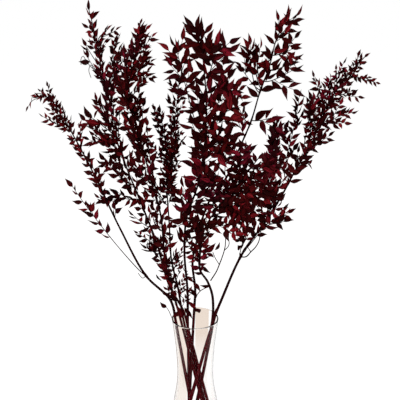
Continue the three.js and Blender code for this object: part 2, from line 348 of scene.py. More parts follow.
# A route starts at the stem's foot on the vase's floor and passes the mouth at its second point.
# A shoot is its place along the stem and its reach from there. Two more values can follow: how
# full of twiglets it is, and the share of it that is bare. A sprig zone is where on the stem it
# starts and stops, and the spacing and length of its twiglets. Those of shoots are in "twiglets".
# A tendril is its points and two radii, and a lone leaf its base and tip. Leaves stand "apart" by
# that share of their length. Lengths are in millimetres, and "spread" and "lean" in radians.
stems = {
    "left_arch": {
        "route": [
            (-3, -8), (-39.5, -14, 250), (-50, -10, 295), (-100, 10, 340), (-150, 25, 435),
            (-180, 35, 500), (-210, 45, 565), (-235, 50, 615), (-260, 55, 660), (-285, 60, 695),
            (-310, 60, 695)],
        "foot": 4.0, "leaf": (24, 10), "apart": 0.42, "tipLeaf": 0.6, "spread": (0.5, 1.1),
        "lean": (0.3, 0.7), "leafyFrom": 0.68,
        "sprigs": [(0.6, 0.74, 30, 24), (0.76, 0.86, 16, 24), (0.86, 0.98, 5.5, 36)],
        "twiglets": (22, 24),
        "shoots": [
            (0.455, (-140, -15, 200), 0.25, 0.5), (0.67, (-28, -30, 105), 0.3, 0.2),
            (0.825, (0, 25, 45), 0, 0.3), (0.88, (-48, -25, 28), 0.9)],
        "tendrils": [
            ([(-100, 8, 340), (-106, 6, 336), (-111, 4, 342), (-115, 3, 349)], (0.9, 0.6)),
            ([(-287, 60, 697), (-303, 55, 704), (-312, 50, 700), (-315, 47, 690)], (0.8, 0.5)),
            ([(-300, 60, 695), (-314, 56, 690), (-322, 52, 680)], (0.7, 0.5))],
        "loneLeaves": [
            ((-315, 47, 690), (-317, 45, 679)), ((-322, 52, 680), (-329, 50, 668)),
            ((-54, -18, 309), (-68, -22, 324)), ((-66, -18, 340), (-77, -22, 357))],
    },
    "left_tall": {
        "route": [
            (37.4, -15.8), (-24.5, 28, 250), (-55, 50, 300), (-80, 70, 385), (-115, 90, 475),
            (-140, 105, 535), (-165, 115, 610), (-175, 125, 680), (-190, 130, 750),
            (-200, 130, 815), (-210, 130, 865)],
        "leaf": (28, 11), "apart": 0.38, "tipLeaf": 0.75, "spread": (0.4, 0.95),
        "lean": (0.35, 0.75), "leafyFrom": 0.8,
        "sprigs": [(0.48, 0.6, 17, 42), (0.6, 0.78, 8.5, 46), (0.78, 0.95, 11, 34)],
        "twiglets": (23, 38),
        "shoots": [
            (0.485, (-40, -25, 40), 0.5), (0.555, (-65, -30, 20), 1.2),
            (0.585, (-70, 25, 58), 0.8), (0.665, (-55, -35, 55)), (0.69, (-75, 20, 50), 0.4),
            (0.73, (-30, -30, 65), 0.8), (0.79, (25, -35, 85)), (0.815, (20, 20, 100), 1.5),
            (0.84, (-42, 20, 50), 0, 0.8), (0.87, (-30, -15, 45), 0, 0.9), (0.92, (30, -20, 30)),
            (0.7, (12, -20, 60), 0.4, 0.1), (0.42, (-32, -25, 25), 1.2),
            (0.9, (16, -20, 34), 1.2, 0.1)],
        "tendrils": [
            ([(-189, 128, 743), (-203, 124, 741), (-216, 120, 756), (-222, 115, 768),
              (-226, 112, 762), (-226, 110, 751)], (0.8, 0.6)),
            ([(-182, 127, 711), (-193, 122, 723), (-202, 118, 740), (-207, 112, 751),
              (-211, 109, 741), (-207, 107, 726)], (0.8, 0.6)),
            ([(-170, 108, 614), (-184, 98, 628), (-197, 90, 642), (-205, 88, 648)], (0.9, 0.7))],
        "loneLeaves": [
            ((-203, 130, 838), (-189, 124, 851)), ((-191, 95, 636), (-220, 88, 641)),
            ((-205, 88, 648), (-218, 84, 668)), ((-202, 88, 648), (-192, 84, 668))],
    },
    "left_mid": {
        "route": [
            (27, -29), (-34.5, 23, 250), (-60, 35, 350), (-70, 45, 460), (-85, 50, 515),
            (-100, 55, 580), (-120, 60, 655), (-130, 60, 705), (-120, 60, 750), (-110, 60, 790),
            (-100, 60, 830)],
        "leaf": (27, 11.5), "apart": 0.36, "tipLeaf": 0.75, "spread": (0.5, 1.05),
        "lean": (0.4, 0.85), "leafyFrom": 0.7,
        "sprigs": [
            (0.36, 0.48, 12, 27), (0.48, 0.6, 15, 26), (0.6, 0.75, 15, 38), (0.75, 0.85, 7, 46),
            (0.85, 0.9, 7, 42), (0.9, 0.99, 6, 34)],
        "twiglets": (17, 40),
        "shoots": [
            (0.61, (-35, -35, 70), 0.6), (0.645, (0, -40, 120), 0.2, 0.3),
            (0.7, (-30, -35, 88), 1.3), (0.74, (8, 30, 65), 0, 0.7), (0.8, (-20, -30, 70), 0.8),
            (0.835, (45, -35, 60), 0.2, 0.3), (0.86, (-10, 25, 75)), (0.89, (35, 20, 36), 2),
            (0.93, (24, 0, 38), 0.8, 0.1), (0.88, (34, -22, 30), 1, 0.1),
            (0.79, (20, -30, 44), 1.4, 0.1)],
        "loneLeaves": [
            ((-36, -20, 300), (-50, -24, 318)), ((-60, -16, 316), (-42, -20, 305)),
            ((-28, -25, 278), (-42, -28, 266)), ((-28, -28, 262), (-38, -30, 287)),
            ((-22, -12, 280), (-6, -16, 264)), ((-46, -10, 322), (-58, -14, 339)),
            ((-16, -14, 350), (-2, -18, 339))],
    },
    "back_mid": {
        "route": [
            (23.5, 33), (-24, -8, 250), (-35, 20, 305), (-50, 60, 355), (-55, 100, 415),
            (-60, 125, 485), (-60, 140, 550), (-65, 145, 600), (-75, 150, 655)],
        "leaf": (23, 10), "apart": 0.38, "tipLeaf": 0.8, "spread": (0.5, 1.05),
        "lean": (0.4, 0.85), "leafyFrom": 0.78, "lowLeaf": 0.7,
        "sprigs": [(0.38, 0.54, 10, 38), (0.7, 0.88, 10, 29), (0.88, 1, 12, 28)],
        "twiglets": (17, 38),
        "shoots": [
            (0.46, (-35, -30, 55), 0.5), (0.51, (20, 30, 30), 0, 0.6),
            (0.57, (-70, -30, 50), 0.3), (0.6, (-30, -35, 55), 0, 0.6),
            (0.705, (-30, -40, 70), 1.4), (0.755, (24, -30, 105), 1.3),
            (0.83, (-35, -25, 60), 0, 0.2), (0.875, (-25, -15, 95), 0, 0.6),
            (0.86, (30, -20, 165), 1.1, 0.1), (0.74, (14, -30, 40), 1.6, 0.1),
            (0.82, (28, -25, 84), 1.6, 0.1)],
        "tendrils": [
            ([(-45, -17, 253), (-49, -19, 265), (-54, -22, 279), (-57, -24, 285)], (0.8, 0.6)),
            ([(-31, 10, 296), (-22, 2, 290), (-14, -4, 280)], (0.7, 0.5))],
        "loneLeaves": [((-57, -24, 285), (-70, -27, 295))],
    },
    "front_tall": {
        "route": [
            (-13, 4), (-15, -12, 250), (-15, -20, 320), (-20, -40, 410), (-15, -60, 490),
            (5, -75, 555), (15, -85, 610), (20, -95, 665), (20, -105, 730), (15, -110, 790),
            (10, -110, 845)],
        "foot": 3.8, "leaf": (33, 12), "apart": 0.4, "tipLeaf": 0.95, "spread": (0.6, 1.15),
        "lean": (0.45, 0.85), "leafyFrom": 0.6,
        "sprigs": [
            (0.54, 0.6, 12, 28), (0.6, 0.68, 10, 33), (0.68, 0.85, 9.5, 34),
            (0.92, 0.99, 8.5, 34)],
        "twiglets": (18, 42),
        "shoots": [
            (0.56, (-25, -25, -5), 0, 0.9), (0.61, (-38, -35, 45), 0.6),
            (0.67, (-12, 30, 36), 0, 0.8), (0.72, (45, -35, 60), 0.7),
            (0.745, (-25, -35, 60), 0, 0.9), (0.77, (-55, 30, 165), 1.3, 0.5),
            (0.79, (52, -30, 54), 1.1), (0.83, (60, 35, 38), 1.6), (0.86, (-28, -35, 52), 0, 0.4),
            (0.895, (24, -25, 70)), (0.865, (46, -30, 36), 1.2, 0.2), (0.75, (58, -25, 25), 0.8),
            (0.5, (12, -20, 36), 1.3, 0.1), (0.81, (-26, -25, 34), 1.3, 0.3)],
        "tendrils": [
            ([(-21, -24, 366), (-27, -30, 383), (-35, -34, 391), (-42, -36, 388)], (0.8, 0.6))],
        "loneLeaves": [
            ((-33, -33, 390), (-42, -36, 383)), ((-17, -16, 319), (-28, -18, 326)),
            ((-23, -28, 376), (-36, -34, 372)), ((10, -110, 835), (-15, -112, 843))],
    },
    "right_tall": {
        "route": [
            (-15, 26), (-2.5, 24, 250), (0, 20, 305), (-5, 10, 370), (5, 0, 425), (25, -10, 500),
            (60, -15, 555), (85, -15, 615), (105, -15, 665), (120, -15, 720), (135, -20, 765),
            (145, -20, 810), (160, -20, 845), (165, -20, 865)],
        "foot": 3.8, "leaf": (34, 12), "apart": 0.42, "tipLeaf": 0.85, "spread": (0.6, 1.15),
        "lean": (0.45, 0.9), "leafyFrom": 0.83,
        "sprigs": [(0.85, 0.9, 20, 28), (0.92, 0.99, 16, 32)], "twiglets": (24, 42),
        "shoots": [
            (0.515, (-30, -30, -15), 0.8), (0.575, (-10, 35, 45), 1.3), (0.63, (0, 35, 65), 1.2),
            (0.675, (30, -35, 30), 0, 0.9), (0.73, (-15, 30, 25)),
            (0.755, (-30, -30, 50), 0.3, 0.4), (0.765, (44, -30, 12), 1.2, 0.2),
            (0.825, (-28, -25, 90), 1.3, 0.6), (0.85, (58, -30, 28), 1.3),
            (0.905, (46, 25, 10), 1.5), (0.945, (40, 20, 40), 0.3, 0.2),
            (0.875, (44, -10, 12), 0.8, 0.3), (0.84, (-16, -20, 66), 0.9, 0.5),
            (0.83, (-44, -20, 50), 1.3, 0.6), (0.835, (-18, -24, 46), 1.3, 0.3)],
        "tendrils": [
            ([(2, 20, 289), (11, 14, 304), (21, 6, 314), (31, -2, 323)], (1.0, 0.8)),
            ([(-3, 22, 255), (4, 18, 258), (10, 15, 257)], (3.0, 4.3)),
            ([(0, 20, 283), (4, 20, 290)], (1.0, 0.8)),
            ([(0, 21, 254), (2, 20, 262)], (1.0, 0.8))],
        "loneLeaves": [
            ((31, -2, 323), (7, -8, 325)), ((-1, 18, 330), (-11, 12, 334)),
            ((4, 20, 290), (-15, 12, 309)), ((2, 20, 262), (-15, 12, 280)),
            ((4, 14, 288), (-15, 8, 305)), ((-4, 10, 324), (10, 4, 313))],
    },
    "right_low": {
        "route": [
            (-24, -24), (34.5, -21, 250), (35, -25, 310), (25, -30, 345), (10, -40, 375),
            (10, -45, 410), (15, -55, 455), (40, -70, 510), (70, -80, 550), (95, -85, 585),
            (120, -85, 620)],
        "foot": 4.5, "leaf": (27, 11.5), "apart": 0.36, "tipLeaf": 0.8, "spread": (0.55, 1.1),
        "lean": (0.45, 0.9), "leafyFrom": 0.565, "lowLeaf": 0.5,
        "sprigs": [(0.6, 0.66, 12, 18), (0.66, 0.78, 14, 38), (0.78, 0.92, 5.5, 54)],
        "twiglets": (16, 44),
        "shoots": [
            (0.6, (-25, -30, 60), 0.3, 0.2), (0.64, (20, 12, -14), 0, 0.9),
            (0.695, (-35, -35, 50), 0.3), (0.73, (50, -30, 14), 0.9, 0.3),
            (0.79, (-5, -40, 90), 0.6), (0.81, (76, 30, -36), 1.3), (0.865, (66, -35, 15), 1.7),
            (0.905, (-4, -35, 75), 1.2), (0.95, (55, -25, 20), 1.4),
            (0.835, (48, 5, -28), 1.3, 0.1), (0.88, (45, -15, -25), 1.3, 0.1),
            (0.82, (50, 5, -40), 0.5, 0.1)],
        "tendrils": [
            ([(31, -27, 346), (42, -27, 365), (48, -26, 380), (55, -24, 400), (59, -22, 416),
              (60, -20, 438)], (1.3, 0.9)),
            ([(48, -26, 380), (40, -24, 393), (35, -22, 405)], (0.9, 0.7)),
            ([(58, -24, 410), (64, -20, 414), (67, -18, 420), (66, -17, 430),
              (64, -16, 438)], (0.9, 0.7)),
            ([(12, -36, 371), (14, -33, 377), (16, -30, 379)], (0.9, 0.7))],
        "loneLeaves": [((16, -30, 379), (31, -34, 366)), ((39, -45, 418), (47, -48, 437))],
    },
    "right_arch": {
        "route": [
            (-1, 14), (40.8, 6, 250), (55, 15, 285), (95, 25, 380), (135, 30, 440),
            (170, 30, 500), (200, 25, 565), (225, 15, 615), (240, 5, 675), (265, -5, 725),
            (285, -10, 755), (310, -15, 785)],
        "foot": 4.2, "leaf": (27, 11), "apart": 0.37, "tipLeaf": 0.5, "spread": (0.5, 1.05),
        "lean": (0.35, 0.75), "leafyFrom": 0.66,
        "sprigs": [
            (0.52, 0.62, 20, 30), (0.68, 0.75, 13, 36), (0.77, 0.9, 6, 45), (0.9, 0.98, 8, 34)],
        "twiglets": (20, 40),
        "shoots": [
            (0.445, (5, -35, 75), 1.3, 0.3), (0.465, (40, 30, 38), 0, 0.7),
            (0.535, (50, -25, 42), 1.3), (0.575, (4, -30, 198)), (0.62, (-40, -40, 85), 0.8, 0.3),
            (0.66, (12, -10, 180), 0.6), (0.715, (25, 22, -5), 0, 0.6),
            (0.745, (42, 25, 40), 0.8), (0.78, (-16, -30, 88), 1.5), (0.815, (48, -20, 30), 1.5),
            (0.855, (-10, 30, 45), 1.2), (0.89, (42, 25, 4), 1.2, 0.2),
            (0.91, (-10, -15, 40), 0.8), (0.945, (45, 20, -10), 0.8, 0.2),
            (0.6, (-16, -35, 158), 1.1, 0.35), (0.74, (2, -20, 92), 0.2, 0.2),
            (0.57, (6, -30, 70), 1.9, 0.1), (0.88, (-6, 10, 35), 1, 0.1)],
        "tendrils": [
            ([(91, 22, 376), (103, 16, 379), (112, 10, 392), (121, 6, 404), (127, 3, 418),
              (130, 0, 439), (132, -2, 452)], (1.3, 0.9)),
            ([(112, 10, 392), (108, 8, 399), (105, 8, 404)], (0.9, 0.7)),
            ([(40, 6, 247), (42, 8, 257), (45, 10, 265)], (3.3, 2.7))],
    },
}


def facing(point, along):
    # the way that the leaves here face: away from the bunch, to the front and a little up
    outward = Vector((point.x, point.y, 0)).normalized() * growth["outwardPull"]
    outward += growth["frontPull"]
    return (outward - along * outward.dot(along)).normalized()


def stemLine(route, radius):
    floor = growth["vaseFloor"] + growth["clearance"]
    mouth, *rest = [Vector(p) for p in route[1:]]
    foot = Vector((*route[0], floor))
    run = math.hypot(mouth.x - foot.x, mouth.y - foot.y)
    foot.z += radius * run / (mouth - foot).length
    points = [foot, foot.lerp(mouth, growth["straightShare"]), mouth, *rest]
    return evenLine([p * mm for p in throughPoints(points)], growth["stemStep"] * mm)


def stemRadius(foot, share):
    return (foot + (growth["tipRadius"] - foot) * share**growth["shrink"]) * mm


def shootLine(stem, share, reach, leafTip):
    # its last leaf ends where the reach does
    node, along = pointAt(stem, share), tangentAt(stem, share)
    arm = Vector(reach) * mm
    arm *= 1 - leafTip / arm.length
    outward = (arm - along * arm.dot(along)).normalized()
    tip = node + arm
    leave = node + outward * arm.length * growth["shootStart"]
    place, sag = growth["shootSag"]
    arrive = node.lerp(tip, place) - up * arm.length * sag
    return evenLine(bezier(node, leave, arrive, tip), growth["twigStep"] * mm)


def sprigLine(twig, share, side, length, lean, dice):
    # a short side twig that leaves at an angle and bends up a little
    base, along = pointAt(twig, share), tangentAt(twig, share)
    normal = facing(base, along)
    most = growth["twigletTurn"]
    aside = Quaternion(along, dice.uniform(-most, most)) @ (normal.cross(along) * side)
    way = along * math.cos(lean) + aside * math.sin(lean)
    middle = base + way * length / 2
    onward, *rise = growth["twigletRise"]
    tip = middle + (way + along * onward + up * dice.uniform(*rise)).normalized() * length / 2
    knee = base.lerp(middle, growth["twigletBend"])
    return evenLine(bezier(base, knee, middle, tip, 10), growth["twigStep"] * mm)


def taper(line, ends):
    return [(ends[0] + (ends[1] - ends[0]) * i / (len(line) - 1)) * mm for i in range(len(line))]


def growStem(name, plan):
    # every twig of one stem: wood lines with their radii, and leafy lines with their leaves' sizes
    dice = random.Random(f"{name} twigs")
    foot = plan.get("foot", growth["footRadius"])
    stem = stemLine(plan["route"], foot)
    radii = [stemRadius(foot, i / (len(stem) - 1)) for i in range(len(stem))]
    for i in range(len(stem)):
        for knot, *_ in plan["shoots"]:
            off = (i / (len(stem) - 1) - knot) * lengthOf(stem) / mm / growth["knotLength"]
            radii[i] *= 1 + growth["knotSwell"] * math.exp(-off * off)
    wood, leafy = [(stem, radii)], []

    def leafScale(share):
        # leaves get smaller towards the stem's tip, and near the mouth
        low, (start, reach) = plan.get("lowLeaf", 1), growth["lowLeaves"]
        grown = min(max(0, share - start) / reach, 1)
        start, reach = growth["tipLeaves"]
        shrunk = (1 - plan["tipLeaf"]) * max(0, share - start) / reach
        return (low + (1 - low) * grown) * (1 - shrunk)

    def dress(line, bare, first, last):
        # a leaf at every point of the line's leafy part, closer together where they are smaller
        apart = plan["leaf"][0] * plan["apart"] * (first + last) / 2 * mm
        part = evenLine(line[min(int(bare * (len(line) - 1)), len(line) - 2):], apart, 1)
        leafy.append((part, [first + (last - first) * i / (len(part) - 1)
                             for i in range(len(part))]))

    def addSprigs(line, start, stop, spacing, reach, scale):
        count = int(lengthOf(line) * (stop - start) / mm / spacing)
        least, most, loss = growth["twigletLength"]
        gap = growth["twigletGap"][0]
        for k in range(count):
            share = start + (stop - start) * (k + gap) / (count + gap)
            length = reach * dice.uniform(least, most) * (1 - loss * share) * mm
            lean = dice.uniform(*plan["lean"])
            twig = sprigLine(line, share, 1 if k % 2 else -1, length, lean, dice)
            wood.append((twig, taper(twig, growth["sprigRadius"])))
            size = leafScale(share if line is stem else scale)
            dress(twig, growth["twigletBare"], *[size * part for part in growth["twigletLeaves"]])

    # the last leaf reaches half its length past the wood
    crown = stem[:-round(plan["leaf"][0] * plan["tipLeaf"] / (2 * growth["stemStep"]))]
    dress(crown, plan["leafyFrom"], leafScale(plan["leafyFrom"]), leafScale(1))
    for zone in plan["sprigs"]:
        addSprigs(stem, *zone, 1)
    for share, reach, *style in plan["shoots"]:
        fullness, bare = (*style, *growth["usualShoot"][len(style):])
        size = leafScale(share)
        line = shootLine(stem, share, reach, plan["leaf"][0] * growth["leafPastTip"] * size * mm)
        wood.append((line, taper(line, growth["shootRadius"])))
        dress(line, bare, size, size * growth["shootLastLeaf"])
        if fullness:
            spacing, length = plan["twiglets"]
            addSprigs(line, bare + growth["twigletGap"][1], 1, spacing / fullness, length, share)
    for points, ends in plan.get("tendrils", []):
        line = evenLine(throughPoints([Vector(p) * mm for p in points], 12),
                        growth["stemStep"] * mm)
        wood.append((line, taper(line, ends)))
    for base, tip in plan.get("loneLeaves", []):
        base, tip = Vector(base) * mm, Vector(tip) * mm
        size = growth["loneLeaf"] * (tip - base).length / (plan["leaf"][0] * mm)
        leafy.append(([base - (tip - base).normalized() * mm, base], [0, size]))
    return wood, leafy


def lineMesh(name, lines, attributes):
    points, edges = [], []
    for line in lines:
        first = len(points)
        points += line
        edges += [(i, i + 1) for i in range(first, first + len(line) - 1)]
    mesh = newMesh(name, points, [], edges=edges)
    for label, values in attributes.items():
        layer = mesh.attributes.new(label, "FLOAT", "POINT")
        layer.data.foreach_set("value", values)
    return addObject(name, mesh)


# one leaf in a few shapes, 1 long and 1 wide
leafShapes = {
    "outline": ((0.05, 0.16), (0.14, 0.56), (0.26, 0.90), (0.39, 1.0), (0.56, 0.82), (0.72, 0.47),
                (0.88, 0.16)),  # place along the leaf, and share of its full width
    "thickness": 0.011,
    "aspect": 0.38,  # width to length
    "curlCourse": (2.2, 0.8),  # how late the tip curls, and how far
    "twistFrom": 0.3,
    # for every leaf by chance, least and most
    "sizes": (0.8, 1.2),
    "widths": (0.8, 1.12),
    "lastSpread": 0.85,  # what the last leaf of a twig loses of its spread
    "lift": 0.3,  # how far a leaf may point up, as a share of how far it may droop
    "smallest": 0.05,  # a point with a smaller size bears no leaf
    "seedStep": 20,  # from one stem to the next
    # fold along the midrib, curl of the tip, curl of the edges, twist, and bend sideways
    "shapes": [(0.30, -0.10, 0.10, 0.2, 0.04), (0.42, 0.12, 0.05, -0.3, -0.07),
               (0.22, -0.20, 0.16, 0.5, 0.10), (0.55, -0.05, -0.08, -0.1, -0.05),
               (0.34, -0.28, 0.04, -0.6, 0.08), (0.26, 0.06, 0.20, 0.35, -0.11)],
}


def leafBlade(index, fold, tipCurl, edgeCurl, twist, bend):
    def place(across, along, width, thick):
        half = width / 2
        x = across * half
        z = fold * abs(x) + edgeCurl * (abs(across) - 0.5) * half * 2
        late, far = leafShapes["curlCourse"]
        z = z * leafShapes["aspect"] + tipCurl * along**late * far + thick
        turn = twist * (along - leafShapes["twistFrom"])
        z += x * leafShapes["aspect"] * math.sin(turn)
        return (x * math.cos(turn) + bend * math.sin(math.pi * along) * 2, along, z)

    ring = [(-1, 0), (-0.5, 1), (0, 1), (0.5, 1), (1, 0), (0.5, -1), (0, -1), (-0.5, -1)]
    points, marks = [place(0, 0, 0, 0)], [(0.5, 0)]
    for along, width in leafShapes["outline"]:
        for across, side in ring:
            points.append(place(across, along, width, side * leafShapes["thickness"] / 2))
            marks.append((0.5 + across / 2, along))
    points.append(place(0, 1, 0, 0))
    marks.append((0.5, 1))
    faces = ringFaces(len(ring), len(leafShapes["outline"]))
    mesh = newMesh(f"leafShape{index}", points, faces, smooth=True)
    layer = mesh.uv_layers.new(name="UVMap")
    for loop in mesh.loops:
        layer.data[loop.index].uv = marks[loop.vertex_index]
    return bpy.data.objects.new(f"leafShape{index}", mesh)


leafCollection = bpy.data.collections.new("leafShapes")
for index, shape in enumerate(leafShapes["shapes"]):
    leafCollection.objects.link(leafBlade(index, *shape))


# two node trees grow the wood and the leaves on lines
def newTree(name, inputs):
    tree = bpy.data.node_groups.new(name, "GeometryNodeTree")
    tree.interface.new_socket("Geometry", in_out="INPUT", socket_type="NodeSocketGeometry")
    for label, (kind, value) in inputs.items():
        socket = tree.interface.new_socket(label, in_out="INPUT", socket_type=f"NodeSocket{kind}")
        if value is not None:
            socket.default_value = value
    tree.interface.new_socket("Geometry", in_out="OUTPUT", socket_type="NodeSocketGeometry")
    return tree


def vectorMath(tree, operation, a, b=(0, 0, 0), scale=1.0):
    made = put(tree, "ShaderNodeVectorMath", {0: a, 1: b, 3: scale}, operation=operation)
    return made["Value" if operation == "DOT_PRODUCT" else "Vector"]


def randomFloat(tree, low, high, seed):
    return put(tree, "FunctionNodeRandomValue", {2: low, 3: high, "Seed": seed},
               data_type="FLOAT")[1]


def swing(tree, most, seed):
    return randomFloat(tree, times(tree, most, -1.0), most, seed)


def named(tree, name):
    return put(tree, "GeometryNodeInputNamedAttribute", {"Name": name},
               data_type="FLOAT")["Attribute"]


def turnAbout(tree, vector, axis, angle):
    return put(tree, "ShaderNodeVectorRotate", {"Vector": vector, "Axis": axis, "Angle": angle},
               rotation_type="AXIS_ANGLE")[0]


def lessAlong(tree, vector, axis):
    # the part of a vector that is square to an axis, made 1 long
    onAxis = vectorMath(tree, "SCALE", axis, scale=vectorMath(tree, "DOT_PRODUCT", vector, axis))
    return vectorMath(tree, "NORMALIZE", vectorMath(tree, "SUBTRACT", vector, onAxis))


def carry(tree, geometry, **values):
    # the same geometry, with some values kept for its points
    kept = newNode(tree, "GeometryNodeCaptureAttribute", {"Geometry": geometry})
    for label, (kind, value) in values.items():
        kept.capture_items.new(kind, label)
        tree.links.new(value, kept.inputs[label])
    return kept.outputs


def deliver(tree, geometry, material):
    whole = put(tree, "GeometryNodeRealizeInstances", {"Geometry": geometry})[0]
    painted = put(tree, "GeometryNodeSetMaterial", {"Geometry": whole, "Material": material})[0]
    put(tree, "NodeGroupOutput", {"Geometry": painted})
    return tree


def woodTree():
    tree = newTree("twigWood", {
        "Sides": ("Int", 8), "Gnarl": ("Float", 0.16), "Gnarl Scale": ("Float", 90.0),
        "Material": ("Material", None),
    })
    given = put(tree, "NodeGroupInput")
    lines = put(tree, "GeometryNodeMeshToCurve", {"Mesh": given["Geometry"]})[0]
    spline = put(tree, "GeometryNodeSplineParameter")
    line = carry(tree, lines, length=("FLOAT", spline["Length"]))
    circle = put(tree, "GeometryNodeCurvePrimitiveCircle",
                 {"Resolution": given["Sides"], "Radius": 1.0})[0]
    ring = carry(tree, circle, angle=("FLOAT", times(tree, spline["Factor"], math.tau)))
    tube = put(tree, "GeometryNodeCurveToMesh", {
        "Curve": line[0], "Profile Curve": ring[0], "Scale": named(tree, "girth"),
        "Fill Caps": True})[0]
    grain = put(tree, "ShaderNodeCombineXYZ", {
        0: arithmetic(tree, "COSINE", ring["angle"]), 1: arithmetic(tree, "SINE", ring["angle"]),
        2: line["length"]})[0]
    marked = put(tree, "GeometryNodeStoreNamedAttribute", {
        "Geometry": tube, "Name": "grain", "Value": grain},
        data_type="FLOAT_VECTOR", domain="POINT")[0]
    lumps = put(tree, "ShaderNodeTexNoise", {"Scale": given["Gnarl Scale"], "Detail": 2.0})[0]
    push = times(tree, minus(tree, lumps, 0.5), times(tree, named(tree, "girth"), given["Gnarl"]))
    normal = put(tree, "GeometryNodeInputNormal")[0]
    moved = put(tree, "GeometryNodeSetPosition", {
        "Geometry": marked, "Offset": vectorMath(tree, "SCALE", normal, scale=push)})[0]
    smooth = put(tree, "GeometryNodeSetShadeSmooth", {"Geometry": moved})[0]
    return deliver(tree, smooth, given["Material"])


def leafTree():
    tree = newTree("twigLeaves", {
        "Shapes": ("Collection", None), "Shape Count": ("Int", 6),
        "Leaf Length": ("Float", 0.02), "Leaf Width": ("Float", 0.008),
        "Spread Low": ("Float", 0.45), "Spread High": ("Float", 0.9),
        "Turn": ("Float", 0.5), "Twist": ("Float", 0.4), "Droop": ("Float", 0.15),
        "Seed": ("Int", 0), "Material": ("Material", None),
    })
    given = put(tree, "NodeGroupInput")
    lines = put(tree, "GeometryNodeMeshToCurve", {"Mesh": given["Geometry"]})[0]
    spline = put(tree, "GeometryNodeSplineParameter")
    kept = carry(tree, lines, order=("INT", spline["Index"]), share=("FLOAT", spline["Factor"]))
    order, share = kept["order"], kept["share"]
    spots = put(tree, "GeometryNodeCurveToPoints", {"Curve": kept[0]}, mode="EVALUATED")
    along = spots["Tangent"]

    def seeded(offset):
        return arithmetic(tree, "ADD", given["Seed"], float(offset))

    # a frame on the twig: the way the leaves face, and the side that this leaf grows to
    place = put(tree, "GeometryNodeInputPosition")[0]
    flat = vectorMath(tree, "NORMALIZE", vectorMath(tree, "MULTIPLY", place, (1, 1, 0)))
    outward = vectorMath(tree, "SCALE", flat, scale=growth["outwardPull"])
    toLight = vectorMath(tree, "ADD", outward, tuple(growth["frontPull"]))
    face = lessAlong(tree, toLight, along)
    hand = minus(tree, 1.0, times(tree, arithmetic(tree, "MODULO", order, 2.0), 2.0))
    aside = vectorMath(tree, "SCALE", vectorMath(tree, "CROSS_PRODUCT", face, along), scale=hand)
    turn = swing(tree, given["Turn"], seeded(1))
    aside = turnAbout(tree, aside, along, turn)
    face = turnAbout(tree, face, along, turn)
    # the leaf leaves the twig at its spread, and the last one goes on along the twig
    isLast = arithmetic(tree, "GREATER_THAN", share, 0.999)
    spread = times(
        tree, randomFloat(tree, given["Spread Low"], given["Spread High"], seeded(2)),
        minus(tree, 1.0, times(tree, isLast, leafShapes["lastSpread"])))
    way = vectorMath(
        tree, "ADD",
        vectorMath(tree, "SCALE", along, scale=arithmetic(tree, "COSINE", spread)),
        vectorMath(tree, "SCALE", aside, scale=arithmetic(tree, "SINE", spread)))
    droop = randomFloat(tree, times(tree, given["Droop"], -1.0),
                        times(tree, given["Droop"], leafShapes["lift"]), seeded(3))
    sink = put(tree, "ShaderNodeCombineXYZ", {2: droop})[0]
    way = vectorMath(tree, "NORMALIZE", vectorMath(tree, "ADD", way, sink))
    face = turnAbout(tree, face, way, swing(tree, given["Twist"], seeded(4)))
    turned = put(tree, "FunctionNodeAxesToRotation", {
        "Primary Axis": way, "Secondary Axis": face}, primary_axis="Y", secondary_axis="Z")[0]
    planned = named(tree, "size")
    size = times(tree, planned, randomFloat(tree, *leafShapes["sizes"], seeded(5)))
    long = times(tree, size, given["Leaf Length"])
    wide = times(tree, times(tree, size, given["Leaf Width"]),
                 randomFloat(tree, *leafShapes["widths"], seeded(6)))
    shapes = put(tree, "GeometryNodeCollectionInfo", {
        "Collection": given["Shapes"], "Separate Children": True, "Reset Children": True})[0]
    pick = put(tree, "FunctionNodeRandomValue", {
        4: 0, 5: minus(tree, given["Shape Count"], 1.0), "Seed": seeded(7)}, data_type="INT")[2]
    leaves = put(tree, "GeometryNodeInstanceOnPoints", {
        "Points": spots["Points"], "Instance": shapes, "Pick Instance": True,
        "Selection": arithmetic(tree, "GREATER_THAN", planned, leafShapes["smallest"]),
        "Instance Index": pick, "Rotation": turned,
        "Scale": put(tree, "ShaderNodeCombineXYZ", {0: wide, 1: long, 2: long})[0]})[0]
    toned = put(tree, "GeometryNodeStoreNamedAttribute", {
        "Geometry": leaves, "Name": "tone", "Value": randomFloat(tree, 0.0, 1.0, seeded(8))},
        data_type="FLOAT", domain="INSTANCE")[0]
    return deliver(tree, toned, given["Material"])


def settle(holder, tree, values, name):
    # runs a tree on an object, and leaves its result as one plain mesh
    live = holder.modifiers.new(tree.name, "NODES")
    live.node_group = tree
    for item in tree.interface.items_tree:
        if item.in_out == "INPUT" and item.name in values:
            live[item.identifier] = values[item.name]
    depsgraph = bpy.context.evaluated_depsgraph_get()
    mesh = bpy.data.meshes.new_from_object(holder.evaluated_get(depsgraph))
    holder.modifiers.remove(live)
    bpy.data.objects.remove(holder)
    mesh.name = name
    return addObject(name, mesh)


# the finishes: dyed leaves, dark twigs and clear glass
def newMaterial(name):
    material = bpy.data.materials.new(name)
    material.use_nodes = True
    tree = material.node_tree
    return material, tree, tree.nodes["Principled BSDF"]


def ramp(tree, factor, stops):
    made = newNode(tree, "ShaderNodeValToRGB", {0: factor})
    elements = made.color_ramp.elements
    while len(elements) < len(stops):
        elements.new(0.5)
    for element, (place, colour) in zip(elements, stops):
        element.position, element.color = place, (*colour, 1)
    return made.outputs[0]


def noise(tree, vector, scale, detail):
    inputs = {"Vector": vector, "Scale": scale, "Detail": detail}
    return put(tree, "ShaderNodeTexNoise", inputs)[0]


def bump(tree, height, strength, depth):
    inputs = {"Height": height, "Strength": strength, "Distance": depth}
    return put(tree, "ShaderNodeBump", inputs)[0]


